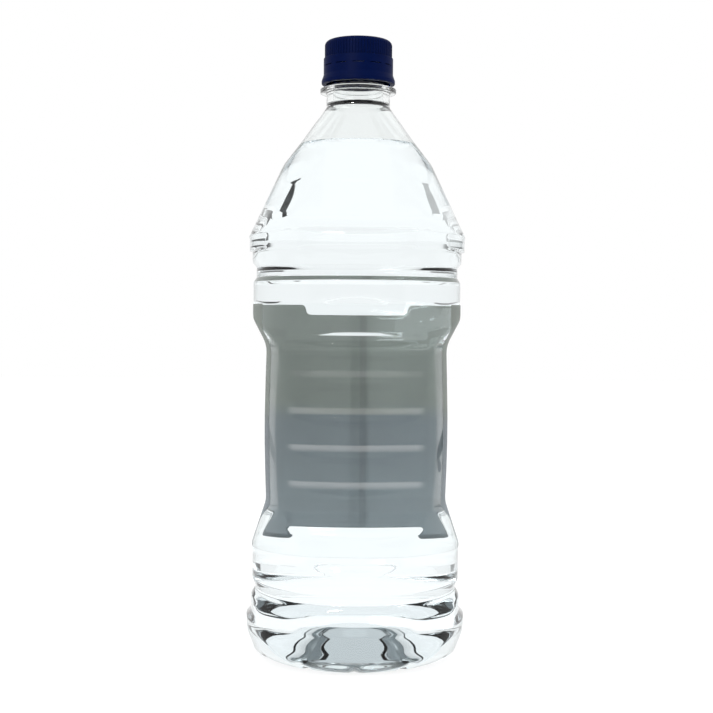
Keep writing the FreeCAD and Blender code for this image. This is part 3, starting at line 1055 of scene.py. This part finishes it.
@dataclass
class Drink:
    """What fills the bottle up to the fill level, reaching just into the wall."""

    into_wall: float = 0.12
    meniscus: float = 0.8
    rim_width: float = 1.4
    rim_height: float = 0.15
    rim_round: float = 0.9
    flat_from: float = 4.0
    neck_samples: int = 60
    side: Spirit = Spirit("spirit_side", 1.0)
    surface: Spirit = Spirit("spirit_surface", 1.36)

    def build(self) -> Piece:
        """Makes the drink and dresses it.

        Returns:
            The drink, with the finishes side and surface in that order.
        """
        turned = TurnedMesh()
        inset = FORM.wall - self.into_wall
        level = FORM.fill_height
        edge = level + self.meniscus
        corners = FORM.base_and_body(inset)[:-1]
        side = Outline(tuple(corners)).points(RowSpacing(0.2, 0.2, 0.2))[-self.neck_samples :]
        top = float(np.interp(edge, side[:, 1], side[:, 0]))
        corners[-1] = (top, edge, 0.0)
        surface = [
            (top - self.rim_width, level + self.rim_height, self.rim_round),
            (top - self.flat_from, level, 0.0),
            (0.0, level, 0.0),
        ]
        turned.shape(turned.spin([*corners, *surface]), inset)
        piece = turned.finished("shochu_fill")
        for finish in (self.side, self.surface):
            piece.data.materials.append(finish.make())
        for face in piece.data.polygons:
            upper = face.center.z > (level - 0.2) * MM and face.normal.z > 0.3
            face.material_index = 1 if upper else 0
        return piece


@dataclass
class Label:
    """The thin film round the bands and the waist, with its ends overlapped at the back."""

    low: float = 53.7
    high: float = 172.6
    lean: float = 0.03
    film: float = 0.2
    gap: float = 0.03
    overlap_from: float = -2.4
    overlap_to: float = 4.9
    overlap_gap: float = 0.02
    overlap_bend: float = 5.0
    near: float = 0.01
    weld: float = 0.0005
    inside: PrintedFilm = PrintedFilm(
        "film_inside", (0.158, 0.170, 0.155), (0.134, 0.152, 0.161), glow=3.0
    )
    outside: PrintedFilm = PrintedFilm(
        "film_outside", (0.30, 0.33, 0.30), (0.25, 0.28, 0.31), sheen=0.06, bare=0.5
    )
    lap: PrintedFilm = replace(outside, name="film_lap", bare=0.87)
    # The cut ends get painted shade, a thin dark grey line.
    rim: FilmRimShade = FilmRimShade()

    def build(self) -> list[Piece]:
        """Makes the sleeve and its overlap and dresses them.

        Returns:
            The sleeve and the overlap's strip.
        """
        sleeve, strip = self._sleeve(), self._overlap()
        rim, lap = self.rim.make(), self.lap.make()
        self._dress(sleeve, self.inside.make(), self.outside.make(), rim)
        self._dress(strip, lap, lap, rim)
        return [sleeve, strip]

    def _sleeve(self) -> Piece:
        """Makes the sleeve, whose lower edge leans."""
        turned = TurnedMesh()
        skins = {FORM.band_radius - level: level for level in (-self.gap, -self.film)}
        inner, outer = sorted(skins)
        corners = [
            (outer, self.low, 0.0),
            (outer, self.high, 0.0),
            (inner, self.high, 0.0),
            (inner, self.low, 0.0),
            (outer, self.low, 0.0),
        ]
        verts = turned.spin(corners)
        for radius, level in skins.items():
            skin = [vert for vert in verts if abs(vert.co.xy.length - radius) < self.near]
            turned.shape(skin, level, ribs=False, flutes=False)
        for vert in verts:
            if vert.co.z < self.low + self.near:
                vert.co.z -= self.lean * vert.co.y
        return turned.finished("film_sleeve", weld=self.weld)

    def _overlap(self) -> Piece:
        """Makes the strip where the film's ends lie on each other."""
        turned = TurnedMesh()
        mesh = turned.mesh
        verts = bmesh.ops.create_grid(mesh, x_segments=6, y_segments=80, size=0.5)["verts"]
        share = np.array([vert.co.xy[:] for vert in verts]) + 0.5
        across = self.overlap_from + (self.overlap_to - self.overlap_from) * share[:, 0]
        height = self.low + (self.high - self.low) * share[:, 1]
        level = -self.film - self.overlap_gap
        azimuth = math.pi / 2 - np.arcsin(across / (FORM.band_radius - self.overlap_bend))
        envelope = np.full_like(height, FORM.band_radius - level)
        radius = FORM.radius_at(envelope, height, azimuth, level, ribs=False)
        for vert, r, a, z in zip(verts, radius, azimuth, height):
            vert.co = (r * math.cos(a), r * math.sin(a), z)
        bmesh.ops.recalc_face_normals(mesh, faces=mesh.faces)
        bmesh.ops.solidify(mesh, geom=list(mesh.faces), thickness=self.film)
        return turned.finished("film_overlap", weld=self.weld)

    @staticmethod
    def _dress(
        piece: Piece,
        inside: Material,
        outside: Material,
        rim: Material,
    ) -> None:
        """Gives a piece of film its finishes.

        Args:
            piece: the piece of film.
            inside: finish of the faces towards the axis.
            outside: finish of the faces away from it.
            rim: finish of the cut ends, with its painted shade.
        """
        for material in (outside, inside, rim):
            piece.data.materials.append(material)
        for face in piece.data.polygons:
            centre = face.center
            inward = centre.x * face.normal.x + centre.y * face.normal.y < 0
            face.material_index = 2 if abs(face.normal.z) > 0.9 else 1 if inward else 0


@dataclass
class Cap:
    """The screw cap, whose solid is right as it is and only gets its finish."""

    finish: CapPlastic = CapPlastic()

    def dress(self, node: Piece) -> None:
        """Gives the cap its plastic."""
        node.data.materials.clear()
        node.data.materials.append(self.finish.make())


# ---- the studio


@dataclass(frozen=True)
class CardRow:
    """Dark upright cards far off round the bottle, seen only through it or in its gloss.

    The shades go by azimuth in degrees from straight behind. The rise and the fall are the
    heights of view over which the cards begin and end.
    """

    shades: tuple[tuple[float, float], ...]
    rise: Span
    fall: Span


@dataclass(frozen=True)
class FloorCard:
    """A dark oval card lying on the floor, in metres, and how dark it is."""

    x: float
    y: float
    half_x: float
    half_y: float
    shade: float


@dataclass(frozen=True)
class Lamp:
    """A rectangular lamp aimed at the bottle, which either lights surfaces or shows in gloss."""

    name: str
    place: Corner
    power: float
    size: Span
    in_gloss: bool = False


@dataclass
class Studio:
    """A white floor and surround, soft lamps, dark cards round the bottle, and the camera."""

    distance: float = 0.6696
    eye: float = 0.1655
    focal: float = 1350.0
    frame: float = 713.0
    pitch: float = 1.59
    roll: float = 0.38
    aim: Corner = (0.0, 0.0, 0.12)
    pole_span: Span = (0.62, 0.86)
    pole: Colour = (0.66, 0.67, 0.67)
    floor_size: float = 3.0
    floor_matt: float = 0.32
    floor_glow: float = 0.80
    floor_unseen: float = 0.8
    card_dark: float = 0.02
    card_edge: Span = (1.0, 0.85)
    floor_cards: tuple[FloorCard, ...] = (
        FloorCard(0.188, 0.575, 0.022, 0.095, 1.0),
        FloorCard(-0.210, 0.525, 0.026, 0.085, 0.5),
        FloorCard(0.500, 0.600, 0.060, 0.060, 0.8),
        FloorCard(0.640, 0.900, 0.130, 0.420, 0.9),
        FloorCard(-0.640, 0.900, 0.130, 0.420, 0.45),
    )
    cards: tuple[CardRow, ...] = (
        CardRow(
            ((-150.0, 0.5), (-148.0, 0.3), (-128.0, 0.3), (-125.0, 1.0))
            + ((125.0, 1.0), (128.0, 0.3), (148.0, 0.3), (150.0, 0.5)),
            rise=(-1.1, -1.0),
            fall=(0.34, 0.26),
        ),
        CardRow(
            ((-57.0, 1.0), (-55.0, 0.28), (-27.0, 0.28), (-25.0, 1.0))
            + ((25.0, 1.0), (27.0, 0.05), (55.0, 0.05), (57.0, 1.0)),
            rise=(0.036, 0.042),
            fall=(0.075, 0.066),
        ),
    )
    lamps: tuple[Lamp, ...] = (
        Lamp("key", (-0.9, -1.1, 1.1), 6.5, (0.9, 0.9)),
        Lamp("fill", (1.2, -0.7, 0.7), 4.0, (0.9, 0.9)),
        Lamp("strip", (-0.275, -0.72, 0.68), 5.0, (0.22, 0.12), in_gloss=True),
    )

    def build(self) -> None:
        """Sets up everything round the bottle."""
        self._world()
        self._floor()
        self._lamps()
        self._camera()

    def _world(self) -> None:
        """Makes the surround: white to the camera, and else with the cards and greyer poles."""
        world = bpy.data.worlds.new("surround")
        bpy.context.scene.world = world
        world.use_nodes = True
        world.node_tree.nodes.clear()
        wires = Wires(world.node_tree)
        apart = wires.apart(wires.add("TexCoord").outputs["Generated"])
        up = wires.maths("ABSOLUTE", apart.outputs["Z"])
        seen = wires.ramp(up, zip(self.pole_span, (grey(1.0), self.pole)))
        for row in self.cards:
            seen = wires.mixed(1.0, seen, self._cards(wires, apart, row), "MULTIPLY")
        white = wires.add("Background", Color=(1, 1, 1, 1), Strength=1.0)
        room = wires.add("Background", Strength=1.0)
        wires.feed(seen, room.inputs["Color"])
        camera = wires.add("LightPath").outputs["Is Camera Ray"]
        surround = wires.layered(camera, room, white)
        wires.output(surround, "OutputWorld")

    @staticmethod
    def _cards(wires: Wires, apart: Node, row: CardRow) -> Socket:
        """Adds a row of dark cards to the surround.

        Args:
            wires: the surround's node tree.
            apart: the node that gives the direction's parts.
            row: the shades of the cards and how high they stand.

        Returns:
            A colour that is dark on the cards and white elsewhere.
        """
        turn = wires.maths("ARCTAN2", apart.outputs["X"], apart.outputs["Y"])
        share = wires.spread(turn, (-math.pi, math.pi))
        cards = wires.ramp(share, ((at / 360.0 + 0.5, grey(shade)) for at, shade in row.shades))
        edges = [wires.spread(apart.outputs["Z"], edge) for edge in (row.rise, row.fall)]
        return wires.mixed(wires.maths("MULTIPLY", *edges), grey(1.0), cards)

    def _floor(self) -> None:
        """Makes the pale floor, which keeps the bottle's soft shadow and lights nothing else."""
        mesh = bmesh.new()
        bmesh.ops.create_grid(mesh, x_segments=8, y_segments=8, size=self.floor_size)
        floor = mesh_object("floor", mesh)
        material, wires = new_material("pale_floor")
        matt = wires.add("BsdfDiffuse")
        glow = wires.add("Emission", Strength=self.floor_glow)
        plain = wires.add("BsdfDiffuse", Color=(*grey(self.floor_unseen), 1))
        path = wires.add("LightPath")
        dark = self._floor_cards(wires, path)
        for node, pale in ((matt, self.floor_matt), (glow, 1.0)):
            shade = wires.mixed(dark, grey(pale), grey(self.card_dark))
            wires.feed(shade, node.inputs["Color"])
        both = wires.add("AddShader")
        wires.feed(matt, both.inputs[0])
        wires.feed(glow, both.inputs[1])
        seen = path.outputs["Is Camera Ray"]
        for ray in ("Is Transmission Ray", "Is Glossy Ray"):
            seen = wires.maths("ADD", seen, path.outputs[ray], clamp=True)
        wires.output(wires.layered(seen, plain, both))
        floor.data.materials.append(material)

    def _floor_cards(self, wires: Wires, path: Node) -> Socket:
        """Adds the dark cards on the floor, which the camera sees only through the bottle.

        Args:
            wires: the floor's node tree.
            path: the node that tells the kinds of ray apart.

        Returns:
            How dark the floor is.
        """
        place = wires.place()
        most: Socket | float = 0.0
        for card in self.floor_cards:
            off = wires.moved("SUBTRACT", place, (card.x, card.y, 0.0))
            share = wires.moved("MULTIPLY", off, (1 / card.half_x, 1 / card.half_y, 0.0))
            far = wires.add("VectorMath", operation="LENGTH")
            wires.feed(share, far.inputs[0])
            within = wires.spread(far.outputs["Value"], self.card_edge, (0.0, card.shade))
            most = wires.maths("MAXIMUM", within, most)
        hidden = wires.maths("SUBTRACT", 1.0, path.outputs["Is Camera Ray"])
        return wires.maths("MULTIPLY", most, hidden)

    def _lamps(self) -> None:
        """Adds the two large soft lamps, and the small one that shows only in the gloss."""
        for lamp in self.lamps:
            light = bpy.data.lights.new(lamp.name, "AREA")
            light.shape = "RECTANGLE"
            light.energy = lamp.power
            light.size, light.size_y = lamp.size
            holder = put_in_scene(lamp.name, light)
            holder.location = lamp.place
            holder.visible_glossy = lamp.in_gloss
            holder.visible_diffuse = not lamp.in_gloss
            aim = Vector(self.aim) - holder.location
            holder.rotation_euler = aim.to_track_quat("-Z", "Y").to_euler()

    def _camera(self) -> None:
        """Places the camera in front of the bottle, level with its lower half."""
        camera = bpy.data.cameras.new("camera")
        camera.sensor_width = 36.0
        camera.lens = camera.sensor_width * self.focal / self.frame
        holder = put_in_scene("camera", camera)
        turn = Matrix.Rotation(math.radians(90.0 - self.pitch), 4, "X")
        lean = Matrix.Rotation(math.radians(self.roll), 4, "Z")
        holder.matrix_world = Matrix.Translation((0.0, -self.distance, self.eye)) @ turn @ lean
        bpy.context.scene.camera = holder


def main() -> None:
    """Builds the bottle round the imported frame, piece by piece."""
    logging.basicConfig(level=logging.INFO)
    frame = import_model()
    pieces = {
        ClearBottle().build(): ("bottle", "clear_wall"),
        Drink().build(): ("shochu", "drink"),
    }
    for piece in Label().build():
        pieces[piece] = ("label", "film")
    for piece, (node, slot) in pieces.items():
        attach(piece, "root")
        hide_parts(node)
        LOG.info("%s: %d faces", piece.name, len(piece.data.polygons))
    Cap().dress(frame["nodes"]["cap"])
    Studio().build()
    bpy.context.scene.view_settings.view_transform = "Standard"


if __name__ == "__main__":
    main()
